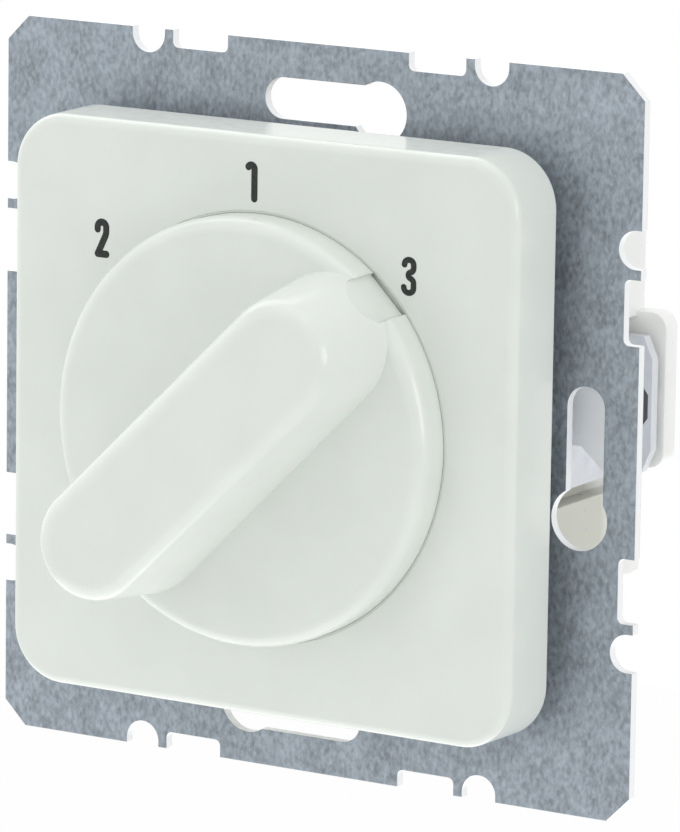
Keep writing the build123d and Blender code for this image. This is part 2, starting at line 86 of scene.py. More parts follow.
class NodeBoard:
    """Nodes of one material, with short calls that add them and join them.

    A Mix node has a set of sockets for each type of data, so its colour ones go by number.
    """

    MIX_FACTOR = 0
    MIX_COLOURS = (6, 7)
    MIX_RESULT = 2
    EDGE_SAMPLES = 8

    def __init__(self, name: str) -> None:
        """Start a material that holds one principled shader.

        Args:
            name: Name of the material.
        """
        self.material = bpy.data.materials.new(name)
        self.material.use_nodes = True
        self.tree = self.material.node_tree
        self.shader = self.tree.nodes["Principled BSDF"]
        self.place = self.add("ShaderNodeTexCoord").outputs["Object"]

    def add(self, kind: str, **inputs: object) -> Node:
        """Add a node and fill its inputs.

        Args:
            kind: Type name of the node.
            inputs: Values or sockets by input name, with _ for a space.

        Returns:
            The new node.
        """
        node = self.tree.nodes.new(kind)
        for name, value in inputs.items():
            self.fill(node, name.replace("_", " "), value)
        return node

    def fill(self, node: Node, key: str | int, value: object) -> None:
        """Join a socket to a node's input, or set the input to a plain value.

        Args:
            node: Node that takes the value.
            key: Name or number of its input.
            value: Socket, number, colour or vector.
        """
        if isinstance(value, NodeSocket):
            self.tree.links.new(value, node.inputs[key])
        else:
            node.inputs[key].default_value = value

    def set(self, name: str, value: object) -> None:
        """Fill one input of the principled shader."""
        self.fill(self.shader, name, value)

    def stretched(self, stretch: Stretch) -> NodeSocket:
        """Give Object coordinates with each axis scaled.

        Args:
            stretch: Scale of X, Y and Z.

        Returns:
            Socket of the scaled coordinates.
        """
        return self.add("ShaderNodeMapping", Vector=self.place, Scale=stretch).outputs["Vector"]

    def noise(self, per_mm: float, detail: float = 3.0, place: NodeSocket | None = None) -> NodeSocket:
        """Give soft noise.

        Args:
            per_mm: Features in a millimetre.
            detail: Finer layers that are added to it.
            place: Coordinates, or Object coordinates where none are given.

        Returns:
            Socket of a value around 0.5.
        """
        place = place or self.place
        node = self.add("ShaderNodeTexNoise", Vector=place, Scale=per_mm / MM, Detail=detail)
        return node.outputs["Fac"]

    def cells(self, per_mm: float, place: NodeSocket | None = None) -> NodeSocket:
        """Give crystal cells, each with a grey of its own.

        Args:
            per_mm: Cells in a millimetre.
            place: Coordinates, or Object coordinates where none are given.

        Returns:
            Socket of a value from 0 to 1, even within a cell.
        """
        node = self.add("ShaderNodeTexVoronoi", Vector=place or self.place, Scale=per_mm / MM)
        split = self.add("ShaderNodeSeparateColor", Color=node.outputs["Color"])
        return split.outputs["Red"]

    def ranged(
        self, value: NodeSocket, low: float, high: float, start: float = 0.3, end: float = 0.7
    ) -> NodeSocket:
        """Map a value to another range.

        Args:
            value: Value to map.
            low: Result at start.
            high: Result at end.
            start: Value that gives low.
            end: Value that gives high.

        Returns:
            Socket of the mapped value, kept between low and high.
        """
        node = self.add(
            "ShaderNodeMapRange", Value=value, From_Min=start, From_Max=end, To_Min=low, To_Max=high
        )
        return node.outputs["Result"]

    def blended(self, factor: NodeSocket, first: object, second: object) -> NodeSocket:
        """Blend two colours.

        Args:
            factor: Share of the second colour.
            first: Colour or socket.
            second: Colour or socket.

        Returns:
            Socket of the blended colour.
        """
        node = self.add("ShaderNodeMix")
        node.data_type = "RGBA"
        self.fill(node, self.MIX_FACTOR, factor)
        for key, colour in zip(self.MIX_COLOURS, (first, second)):
            self.fill(node, key, colour if isinstance(colour, NodeSocket) else (*colour, 1.0))
        return node.outputs[self.MIX_RESULT]

    def uneven(self, colour: Colour, factor: NodeSocket, spread: float) -> NodeSocket:
        """Give a colour that goes darker and lighter.

        Args:
            colour: Mean linear colour.
            factor: Unevenness from 0 to 1.
            spread: Share by which the colour goes down and up.

        Returns:
            Socket of the colour.
        """
        return self.blended(factor, shaded(colour, 1.0 - spread), shaded(colour, 1.0 + spread))

    def summed(self, first: NodeSocket, second: NodeSocket, share: float) -> NodeSocket:
        """Add a share of one value to another.

        Args:
            first: Value that counts in full.
            second: Value that counts by share.
            share: Factor on the second value.

        Returns:
            Socket of the sum.
        """
        node = self.add("ShaderNodeMath")
        node.operation = "MULTIPLY_ADD"
        for key, value in enumerate((second, share, first)):
            self.fill(node, key, value)
        return node.outputs["Value"]

    def soft_edges(self, radius: float) -> NodeSocket:
        """Give normals that round off sharp edges.

        Args:
            radius: Radius of the rounding in metres.

        Returns:
            Socket of the rounded normal.
        """
        node = self.add("ShaderNodeBevel", Radius=radius)
        node.samples = self.EDGE_SAMPLES
        return node.outputs["Normal"]

    def cut_faces(self) -> NodeSocket:
        """Mark the faces that look along the wall plane, such as the cut edges of a flat sheet.

        Returns:
            Socket of a value that is 1 on a cut face and 0 on the sheet's front and back.
        """
        facing = self.add("ShaderNodeNewGeometry").outputs["True Normal"]
        split = self.add("ShaderNodeSeparateXYZ", Vector=facing)
        size = self.add("ShaderNodeMath")
        size.operation = "ABSOLUTE"
        self.fill(size, 0, split.outputs["Y"])
        return self.ranged(size.outputs["Value"], 1.0, 0.0)

    def behind(self, near: float, far: float) -> NodeSocket:
        """Tell how deep a point lies behind the wall plane.

        Args:
            near: Depth up to which the value is 0.
            far: Depth from which it is 1.

        Returns:
            Socket of a value from 0 to 1.
        """
        split = self.add("ShaderNodeSeparateXYZ", Vector=self.place)
        return self.ranged(split.outputs["Y"], 0.0, 1.0, near, far)

    def relief(self, height: NodeSocket, depth: float, normal: NodeSocket | None = None) -> None:
        """Give the shader a fine relief.

        Args:
            height: Height from 0 to 1.
            depth: Depth of the relief in metres.
            normal: Normal that it lies on, where it isn't the plain one.
        """
        node = self.add("ShaderNodeBump", Height=height, Distance=depth)
        if normal is not None:
            self.fill(node, "Normal", normal)
        self.set("Normal", node.outputs["Normal"])


def shaded(colour: Colour, factor: float) -> Colour:
    """Scale a colour's brightness.

    Args:
        colour: Linear colour.
        factor: Factor on each channel.

    Returns:
        The scaled colour, at most 1 in each channel.
    """
    red, green, blue = (min(1.0, channel * factor) for channel in colour)
    return red, green, blue


@dataclass(frozen=True)
class PaintedLightZone:
    """Part of a piece next to the wall plane, painted lighter or darker to stand in for the light and
    shade that fall there.

    Attributes:
        colour: Linear colour that is painted in as light and shade.
        near: Depth up to which the colour is full.
        far: Depth from which it is gone.
    """

    colour: Colour
    near: float
    far: float


@dataclass(frozen=True)
class Finish:
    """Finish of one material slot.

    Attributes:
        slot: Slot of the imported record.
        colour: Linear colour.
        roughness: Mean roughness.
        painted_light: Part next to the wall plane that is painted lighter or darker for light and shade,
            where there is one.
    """

    slot: str
    colour: Colour
    roughness: float
    painted_light: PaintedLightZone | None = None

    def paint(self, board: NodeBoard) -> None:
        """Fill the board's shader; each kind of finish has its own way."""
        raise NotImplementedError

    def skin(self, board: NodeBoard, factor: NodeSocket, spread: float) -> NodeSocket:
        """Give the colour with its unevenness and its painted light and shade next to the wall plane.

        Args:
            board: Board that takes the nodes.
            factor: Unevenness from 0 to 1.
            spread: Share by which the colour goes down and up.

        Returns:
            Socket of the colour.
        """
        skin = board.uneven(self.colour, factor, spread)
        if self.painted_light is None:
            return skin
        # Painted light and shade: near the wall plane the zone's colour takes over from the skin.
        return board.blended(board.behind(self.painted_light.near, self.painted_light.far), self.painted_light.colour, skin)


@dataclass(frozen=True)
class MouldedPlastic(Finish):
    """Pressed thermoset with a faint cloudiness and a slightly wavy gloss.

    Attributes:
        cloud: Share by which the colour varies.
        grain: Depth of the fine skin texture in metres.
        edge: Radius to which sharp edges are softened in metres.
        glow: Share of light that seeps through the moulding.
    """

    cloud: float = 0.02
    grain: float = 0.002 * MM
    edge: float = 0.15 * MM
    glow: float = 0.0

    CLOUDS_PER_MM = 0.16
    GLOSS_PER_MM = 0.9
    SKIN_PER_MM = 4.0
    WAVES_PER_MM = 0.25
    WAVE_SHARE = 1.5
    GLOW_DEPTH = 2.0 * MM
    REFRACTION = 1.5

    def paint(self, board: NodeBoard) -> None:
        """Fill the board's shader with a moulded skin.

        Args:
            board: Board that takes the nodes.
        """
        cloud = board.ranged(board.noise(self.CLOUDS_PER_MM, 4.0), 0.0, 1.0)
        board.set("Base Color", self.skin(board, cloud, self.cloud))
        board.set("Subsurface Weight", self.glow)
        board.set("Subsurface Radius", (1.0, 1.0, 1.0))
        board.set("Subsurface Scale", self.GLOW_DEPTH)
        gloss = board.noise(self.GLOSS_PER_MM, 5.0)
        board.set("Roughness", board.ranged(gloss, self.roughness * 0.8, self.roughness * 1.25))
        board.set("IOR", self.REFRACTION)
        waves = board.noise(self.WAVES_PER_MM, 1.0)
        height = board.summed(board.noise(self.SKIN_PER_MM, 2.0), waves, self.WAVE_SHARE)
        board.relief(height, self.grain, board.soft_edges(self.edge))


@dataclass(frozen=True)
class GalvanisedSheet(Finish):
    """Zinc-coated sheet with fine crystal spangle, soft clouds, a rear face painted lighter and cut
    faces painted near white.

    Attributes:
        cut: Linear colour of the cut faces: lighter bare metal, raised to near white as a painted
            reflection of the bright surroundings.
        rear: Linear colour of the rear face, lighter than the front as painted light, so that it throws
            more light onto the claws behind the frame.
        seam: Depths between which the front's colour goes over into the rear's.
        metal: Share of bare metal; the rest is dull zinc oxide.
        spangle: Share by which the crystals' greys vary.
        cloud: Weight of the soft clouds next to the crystals.
        grain: Depth of the surface texture in metres.
        edge: Radius to which sharp edges are softened in metres.
    """

    cut: Colour = (0.89, 0.905, 0.92)
    rear: Colour = (0.56, 0.60, 0.645)
    seam: tuple[float, float] = (-0.7 * MM, -0.3 * MM)
    metal: float = 0.35
    spangle: float = 0.33
    cloud: float = 0.5
    grain: float = 0.004 * MM
    edge: float = 0.10 * MM

    ROLLING = (1.0, 1.0, 0.6)
    CRYSTALS_PER_MM = 3.4
    CRYSTAL_SHARE = 0.2
    RELIEF_SHARE = 0.3
    FINE_PER_MM = 2.3
    CLOUDS_PER_MM = 0.28
    TONE_RANGE = (0.57, 1.13)

    def paint(self, board: NodeBoard) -> None:
        """Fill the board's shader with zinc crystals on rolled steel.

        Args:
            board: Board that takes the nodes.
        """
        rolled = board.stretched(self.ROLLING)
        crystals = board.cells(self.CRYSTALS_PER_MM, rolled)
        fine = board.noise(self.FINE_PER_MM, 6.0, rolled)
        clouds = board.noise(self.CLOUDS_PER_MM)
        grey = board.summed(board.summed(fine, crystals, self.CRYSTAL_SHARE), clouds, self.cloud)
        tone = board.ranged(grey, 0.0, 1.0, *self.TONE_RANGE)
        front = self.skin(board, tone, self.spangle)
        # Painted light: the rear face is lighter than the front, to throw more light onto the claws
        # behind the frame.
        rear = board.uneven(self.rear, tone, self.spangle)
        body = board.blended(board.behind(*self.seam), front, rear)
        # Partly painted reflection: the cut faces are near white, lighter bare metal raised to stand in
        # for the bright surroundings that they reflect.
        board.set("Base Color", board.blended(board.cut_faces(), body, self.cut))
        board.set("Metallic", self.metal)
        board.set("Roughness", board.ranged(tone, self.roughness * 0.85, self.roughness * 1.2, 0.0, 1.0))
        height = board.summed(fine, crystals, self.RELIEF_SHARE)
        board.relief(height, self.grain, board.soft_edges(self.edge))


@dataclass(frozen=True)
class PlatedSteel(Finish):
    """Plated or plain steel with fine drawing lines and soft stains.

    Attributes:
        metal: Share of bare metal; the rest is dull coating.
        stain: Share by which the colour varies.
        lines: Stretch of the drawing lines on X, Y and Z.
        grain: Depth of the lines in metres.
        edge: Radius to which sharp edges are softened in metres.
    """

    metal: float = 1.0
    stain: float = 0.10
    lines: Stretch = (1.0, 0.15, 1.0)
    grain: float = 0.003 * MM
    edge: float = 0.10 * MM

    STAINS_PER_MM = 0.5
    LINES_PER_MM = 5.0

    def paint(self, board: NodeBoard) -> None:
        """Fill the board's shader with drawn or plated metal.

        Args:
            board: Board that takes the nodes.
        """
        stain = board.ranged(board.noise(self.STAINS_PER_MM, 5.0), 0.0, 1.0)
        lines = board.noise(self.LINES_PER_MM, 3.0, board.stretched(self.lines))
        board.set("Base Color", self.skin(board, stain, self.stain))
        board.set("Metallic", self.metal)
        board.set("Roughness", board.ranged(lines, self.roughness * 0.8, self.roughness * 1.3))
        board.relief(lines, self.grain, board.soft_edges(self.edge))


@dataclass(frozen=True)
class StampedBrass(Finish):
    """Stamped brass with darker tarnish in soft patches.

    Attributes:
        tarnish: Linear colour of the tarnished patches.
        grain: Depth of the surface texture in metres.
        edge: Radius to which sharp edges are softened in metres.
    """

    tarnish: Colour = (0.34, 0.22, 0.08)
    grain: float = 0.003 * MM
    edge: float = 0.10 * MM

    PATCHES_PER_MM = 0.45
    PATCH_RANGE = (0.45, 0.75)
    FULL_PATCH = 0.7
    FINE_PER_MM = 4.0

    def paint(self, board: NodeBoard) -> None:
        """Fill the board's shader with brass under a thin tarnish.

        Args:
            board: Board that takes the nodes.
        """
        clouds = board.noise(self.PATCHES_PER_MM, 6.0)
        patches = board.ranged(clouds, 0.0, self.FULL_PATCH, *self.PATCH_RANGE)
        rough = board.ranged(patches, self.roughness, self.roughness * 1.6, 0.0, self.FULL_PATCH)
        board.set("Base Color", board.blended(patches, self.colour, self.tarnish))
        board.set("Metallic", 1.0)
        board.set("Roughness", rough)
        board.relief(board.noise(self.FINE_PER_MM), self.grain, board.soft_edges(self.edge))


@dataclass(frozen=True)
class PrintedInk(Finish):
    """Dark ink that lies on the moulding, a little uneven in cover.

    Attributes:
        thin: Linear colour where the cover is thin.
        shine: Level of the ink's reflections.
        grain: Depth of the ink's texture in metres.
    """

    thin: Colour = (0.052, 0.055, 0.053)
    shine: float = 0.2
    grain: float = 0.002 * MM

    COVER_PER_MM = 3.0
    COVER_RANGE = (0.4, 0.7)
    GRAIN_PER_MM = 6.0

    def paint(self, board: NodeBoard) -> None:
        """Fill the board's shader with printed ink.

        Args:
            board: Board that takes the nodes.
        """
        board.set("Specular IOR Level", self.shine)
        cover = board.ranged(board.noise(self.COVER_PER_MM, 4.0), 0.0, 1.0, *self.COVER_RANGE)
        board.set("Base Color", board.blended(cover, self.colour, self.thin))
        board.set("Roughness", board.ranged(cover, self.roughness, self.roughness * 1.2, 0.0, 1.0))
        board.relief(board.noise(self.GRAIN_PER_MM, 2.0), self.grain)


@lru_cache(maxsize=None)
def material_of(finish: Finish) -> Material:
    """Make the material of a finish, once for all pieces that share it.

    Args:
        finish: Finish to paint.

    Returns:
        The material.
    """
    board = NodeBoard(type(finish).__name__ + "_" + finish.slot)
    finish.paint(board)
    return board.material


WHITE_MOULDING = MouldedPlastic("white_moulding", (0.76, 0.80, 0.755), 0.20)
CREAM_MOULDING = MouldedPlastic(
    "cream_moulding",
    (0.87, 0.88, 0.855),
    0.34,
    # Painted shade: the cream goes darker and yellower close behind the frame, standing in for the shade
    # seen through the keyholes.
    PaintedLightZone((0.60, 0.61, 0.54), 17.5 * MM, 20.5 * MM),
    cloud=0.03,
    grain=0.004 * MM,
    glow=0.5,
)
# Painted shade: dark pads behind the claws' tips stand in for the shade seen through their windows.
SHADE_PAD = MouldedPlastic("dark_moulding", (0.16, 0.16, 0.165), 0.60, cloud=0.10, grain=0.010 * MM)
GREY_MOULDING = MouldedPlastic("grey_moulding", (0.34, 0.35, 0.34), 0.40, cloud=0.05, grain=0.005 * MM)
DARK_MOULDING = MouldedPlastic(
    "dark_moulding", (0.035, 0.035, 0.038), 0.42, cloud=0.10, grain=0.005 * MM
)
NUMERAL_INK = PrintedInk("dark_moulding", (0.030, 0.033, 0.031), 0.60)
FRAME_ZINC = GalvanisedSheet("galvanised_sheet", (0.315, 0.358, 0.402), 0.46)
CLAW_ZINC = PlatedSteel(
    "claw_sheet",
    (0.70, 0.72, 0.76),
    0.50,
    # Painted light: the claw's foot close behind the frame is nearly white, standing in for light that
    # the frame keeps off it.
    PaintedLightZone((0.95, 0.97, 0.99), 3.6 * MM, 3.8 * MM),
    metal=0.1,
    stain=0.05,
    lines=(0.15, 1.0, 1.0),
)
SCREW_ZINC = PlatedSteel("zinc_screw", (0.52, 0.53, 0.54), 0.28)
TURNED_STEEL = PlatedSteel("spindle_steel", (0.45, 0.45, 0.46), 0.30)
SPRING_STEEL = PlatedSteel("spring_steel", (0.26, 0.27, 0.29), 0.32, lines=(1.0, 1.0, 0.15))
CONTACT_BRASS = StampedBrass("contact_brass", (0.60, 0.42, 0.15), 0.30)


def dress(finish: Finish, nodes: Iterable[str]) -> None:
    """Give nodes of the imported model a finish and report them.

    Args:
        finish: Finish that the nodes share.
        nodes: Names of the nodes.
    """
    for node in nodes:
        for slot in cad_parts[node].material_slots:
            slot.material = material_of(finish)
        log.info("dressed %s as %s", node, finish.slot)


def new_piece(name: str, shape: BMesh, finish: Finish, smooth: float = SMOOTH_ANGLE) -> Object:
    """Make a finished shape a piece that rides on the fixed body, and report it.

    Args:
        name: Name of the piece.
        shape: Shape with its place in its vertices, which is freed.
        finish: Finish of the piece.
        smooth: Largest angle that is shaded as smooth, in degrees.

    Returns:
        The new object.
    """
    mesh = mesh_from(shape, name, smooth)
    piece = bpy.data.objects.new(name, mesh)
    bpy.context.scene.collection.objects.link(piece)
    mesh.materials.append(material_of(finish))
    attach(piece, FIXED_BODY)
    log.info("built %s with %d faces", name, len(mesh.polygons))
    return piece


def mesh_from(shape: BMesh, name: str, smooth: float) -> Mesh:
    """Turn a finished bmesh into a mesh with smooth faces and sharp edges.

    Args:
        shape: Shape, which is freed.
        name: Name of the mesh.
        smooth: Largest angle that is shaded as smooth, in degrees.

    Returns:
        The mesh.
    """
    for face in shape.faces:
        face.smooth = True
    for edge in shape.edges:
        edge.smooth = edge.is_manifold and edge.calc_face_angle() < math.radians(smooth)
    mesh = bpy.data.meshes.new(name)
    shape.to_mesh(mesh)
    shape.free()
    return mesh


def round_edges(shape: BMesh, edges: Iterable[BMEdge], radius: float, segments: int) -> None:
    """Round off edges of a shape.

    Args:
        shape: Shape, changed in place.
        edges: Edges to round.
        radius: Reach of the rounding.
        segments: Steps over the rounding.
    """
    bmesh.ops.bevel(
        shape,
        geom=list(edges),
        offset=radius,
        segments=segments,
        profile=0.5,
        affect="EDGES",
        material=-1,
    )


@dataclass(frozen=True)
class Pull:
    """One pull of a numeral's pen.

    Attributes:
        turn: Way that the pen goes.
        reach: Length of a straight pull, or radius of an arc.
        degrees: Angle of an arc, or turn to the left at a corner.
    """

    turn: Turn
    reach: float
    degrees: float = 0.0


class NumeralPen:
    """Round-tipped pen that draws a numeral in one stroke, flat in its own X and Y plane."""

    ARC_STEP = math.radians(9.0)
    LAYER = 0.004 * MM
    MERGE = 1e-7

    def __init__(self, width: float, heading: float) -> None:
        """Set the pen down.

        Args:
            width: Width of the stroke.
            heading: First direction in degrees, counted from X towards Y.
        """
        self.shape = bmesh.new()
        self.tip = Vector((0.0, 0.0, 0.0))
        self.heading = math.radians(heading)
        self.width = width
        self.set_down()

    def set_down(self) -> None:
        """Lay the nib across the pen's way and round its back."""
        half = self.leftward() * (self.width / 2)
        points = [self.shape.verts.new(self.tip + half * side) for side in (1.0, 0.0, -1.0)]
        self.nib = [self.shape.edges.new(pair) for pair in zip(points, points[1:])]
        self.round_off(math.pi)

    def leftward(self) -> Vector:
        """Give the direction to the left of the pen's way."""
        return Vector((-math.sin(self.heading), math.cos(self.heading), 0.0))

    def sweep(self, edges: list[BMEdge], centre: Vector, angle: float) -> list[BMEdge]:
        """Swing edges round a centre and leave faces behind them.

        Args:
            edges: Edges to swing.
            centre: Centre of the arc.
            angle: Angle of the arc in radians.

        Returns:
            The edges at the arc's end.
        """
        points = dict.fromkeys(point for edge in edges for point in edge.verts)
        swung = bmesh.ops.spin(
            self.shape,
            geom=[*points, *edges],
            cent=centre,
            axis=(0.0, 0.0, 1.0),
            angle=angle,
            steps=max(2, round(abs(angle) / self.ARC_STEP)),
        )
        return [part for part in swung["geom_last"] if isinstance(part, BMEdge)]

    def round_off(self, angle: float) -> None:
        """Close the stroke's end with a half disc.

        Args:
            angle: Half turn that the nib's left half makes, in radians.
        """
        self.sweep(self.nib[:1], self.tip, angle)

    def pull(self, pull: Pull) -> None:
        """Draw one pull.

        Args:
            pull: Straight pull, arc or corner.
        """
        if pull.turn is Turn.CORNER:
            self.turn_corner(math.radians(pull.degrees))
        elif pull.turn is Turn.AHEAD:
            self.go_straight(pull.reach)
        else:
            self.go_round(pull.reach * pull.turn.value, math.radians(pull.degrees) * pull.turn.value)

    def turn_corner(self, angle: float) -> None:
        """End a stroke and start the next one on the spot, a hair over the first.

        Args:
            angle: Turn to the left in radians.
        """
        self.round_off(-math.pi)
        self.heading += angle
        self.tip.z += self.LAYER
        self.set_down()

    def go_straight(self, reach: float) -> None:
        """Draw a straight line.

        Args:
            reach: Length of the line.
        """
        step = Vector((math.cos(self.heading), math.sin(self.heading), 0.0)) * reach
        drawn = bmesh.ops.extrude_edge_only(self.shape, edges=self.nib)["geom"]
        ends = [part for part in drawn if isinstance(part, BMVert)]
        bmesh.ops.translate(self.shape, vec=step, verts=ends)
        self.nib = [part for part in drawn if isinstance(part, BMEdge) and set(part.verts) <= set(ends)]
        self.tip += step

    def go_round(self, radius: float, angle: float) -> None:
        """Draw an arc.

        Args:
            radius: Radius, below zero for a centre at the right.
            angle: Angle in radians, below zero for a turn to the right.
        """
        centre = self.tip + self.leftward() * radius
        self.nib = self.sweep(self.nib, centre, angle)
        self.tip = centre + Matrix.Rotation(angle, 3, "Z") @ (self.tip - centre)
        self.heading += angle

    def lift(self) -> BMesh:
        """End the stroke and give the closed shape.

        Returns:
            Flat shape whose faces look along Z.
        """
        self.round_off(-math.pi)
        bmesh.ops.remove_doubles(self.shape, verts=self.shape.verts, dist=self.MERGE)
        bmesh.ops.dissolve_degenerate(self.shape, edges=self.shape.edges, dist=self.MERGE)
        self.shape.normal_update()
        downward = [face for face in self.shape.faces if face.normal.z < 0.0]
        bmesh.ops.reverse_faces(self.shape, faces=downward)
        return self.shape


@dataclass(frozen=True)
class Numeral:
    """One printed numeral of the centre plate.

    Attributes:
        name: Name of the piece.
        centre: Place of its middle on the plate, as X and Z.
        size: Width and height over the stroke.
        heading: Direction in which the pen starts, in degrees.
        pulls: Pulls of the pen, in stroke widths of 1.
    """

    name: str
    centre: tuple[float, float]
    size: tuple[float, float]
    heading: float
    pulls: tuple[Pull, ...]


NUMERALS = (
    Numeral(
        "numeral_1",
        (-0.87 * MM, 23.48 * MM),
        (1.36 * MM, 3.86 * MM),
        48.0,
        (Pull(Turn.AHEAD, 0.1), Pull(Turn.RIGHT, 0.52, 138.0), Pull(Turn.AHEAD, 4.05)),
    ),
    Numeral(
        "numeral_2",
        (-17.66 * MM, 16.46 * MM),
        (1.70 * MM, 3.77 * MM),
        90.0,
        (
            Pull(Turn.AHEAD, 0.3),
            Pull(Turn.RIGHT, 0.705, 180.0),
            Pull(Turn.AHEAD, 0.5),
            Pull(Turn.RIGHT, 1.6, 26.0),
            Pull(Turn.AHEAD, 2.74),
            Pull(Turn.CORNER, 0.0, 116.0),
            Pull(Turn.AHEAD, 1.4),
        ),
    ),
    Numeral(
        "numeral_3",
        (16.52 * MM, 16.25 * MM),
        (1.65 * MM, 3.68 * MM),
        85.0,
        (
            Pull(Turn.AHEAD, 0.1),
            Pull(Turn.RIGHT, 0.83, 175.0),
            Pull(Turn.AHEAD, 0.45),
            Pull(Turn.RIGHT, 0.83, 72.0),
            Pull(Turn.LEFT, 0.52, 144.0),
            Pull(Turn.RIGHT, 0.85, 72.0),
            Pull(Turn.AHEAD, 0.75),
            Pull(Turn.RIGHT, 0.87, 175.0),
            Pull(Turn.AHEAD, 0.1),
        ),
    ),
)


@dataclass
class FrontPlate:
    """Glossy centre plate with the numerals of its three positions.

    Attributes:
        face: Y of the plate's front face.
        ink: Height of the printed layer over the face; it goes as deep into the plate.
        lip_radii: Inner and outer radius of the lip that closes the gap round the knob disc.
        lip_rise: Height of the lip over the floor of the plate's recess.
        lip_root: Depth to which the lip goes into that floor.
        recess: Depth of the plate's recess.
    """

    face: float = -11.1 * MM
    ink: float = 0.02 * MM
    lip_radii: tuple[float, float] = (20.57 * MM, 20.78 * MM)
    lip_rise: float = 0.35 * MM
    lip_root: float = 0.05 * MM
    recess: float = 0.4 * MM

    LIP_STEPS = 180

    def build(self) -> None:
        """Dress the plate, turn its lip and print its numerals."""
        dress(WHITE_MOULDING, ("cover_plate",))
        dress(SCREW_ZINC, ("plate_screws",))
        self.turn_lip()
        for numeral in NUMERALS:
            self.print_numeral(numeral)

    def turn_lip(self) -> Object:
        """Turn the lip round the knob disc.

        Returns:
            The lip.
        """
        shape = bmesh.new()
        foot = self.face + self.recess + self.lip_root
        crest = self.face + self.recess - self.lip_rise
        inner, outer = self.lip_radii
        corners = ((inner, foot), (outer, foot), (outer, crest), (inner, crest))
        points = [shape.verts.new((radius, y, 0.0)) for radius, y in corners]
        edges = [shape.edges.new(pair) for pair in zip(points, points[1:] + points[:1])]
        bmesh.ops.spin(
            shape,
            geom=[*points, *edges],
            cent=(0.0, 0.0, 0.0),
            axis=(0.0, 1.0, 0.0),
            angle=2 * math.pi,
            steps=self.LIP_STEPS,
            use_merge=True,
        )
        bmesh.ops.recalc_face_normals(shape, faces=shape.faces)
        return new_piece("knob_lip", shape, WHITE_MOULDING)

    def print_numeral(self, numeral: Numeral) -> Object:
        """Print one numeral on the plate.

        Args:
            numeral: Numeral to draw.

        Returns:
            The printed piece.
        """
        pen = NumeralPen(1.0, numeral.heading)
        for pull in numeral.pulls:
            pen.pull(pull)
        shape = pen.lift()
        self.fit(shape, numeral)
        bmesh.ops.solidify(shape, geom=shape.faces[:], thickness=2 * self.ink)
        rise = self.ink - max(point.co.z for point in shape.verts)
        bmesh.ops.translate(shape, vec=(0.0, 0.0, rise), verts=shape.verts)
        across, up = numeral.centre
        place = Matrix.Translation((across, self.face, up)) @ Matrix.Rotation(math.pi / 2, 4, "X")
        bmesh.ops.transform(shape, matrix=place, verts=shape.verts)
        return new_piece(numeral.name, shape, NUMERAL_INK)

    def fit(self, shape: BMesh, numeral: Numeral) -> None:
        """Centre a drawn numeral and scale it to its size.

        Args:
            shape: Flat shape, changed in place.
            numeral: Numeral that gives the size.
        """
        low = Vector(min(point.co[axis] for point in shape.verts) for axis in range(3))
        high = Vector(max(point.co[axis] for point in shape.verts) for axis in range(3))
        bmesh.ops.translate(shape, vec=-(low + high) / 2, verts=shape.verts)
        scale = (numeral.size[0] / (high.x - low.x), numeral.size[1] / (high.y - low.y), 1.0)
        bmesh.ops.scale(shape, vec=scale, verts=shape.verts)


@dataclass
class RotaryKnob:
    """Knob disc with its grip bar, and what turns with it."""

    def build(self) -> None:
        """Dress the knob, its clip and its spindle."""
        dress(WHITE_MOULDING, ("knob",))
        dress(SPRING_STEEL, ("knob_clip",))
        dress(TURNED_STEEL, ("spindle",))


@dataclass
class SteelFrame:
    """Stamped support frame and the screws that clamp the switch to it."""

    def build(self) -> None:
        """Dress the frame and its clamping screws."""
        dress(FRAME_ZINC, ("support_frame",))
        dress(SCREW_ZINC, ("housing_screws",))


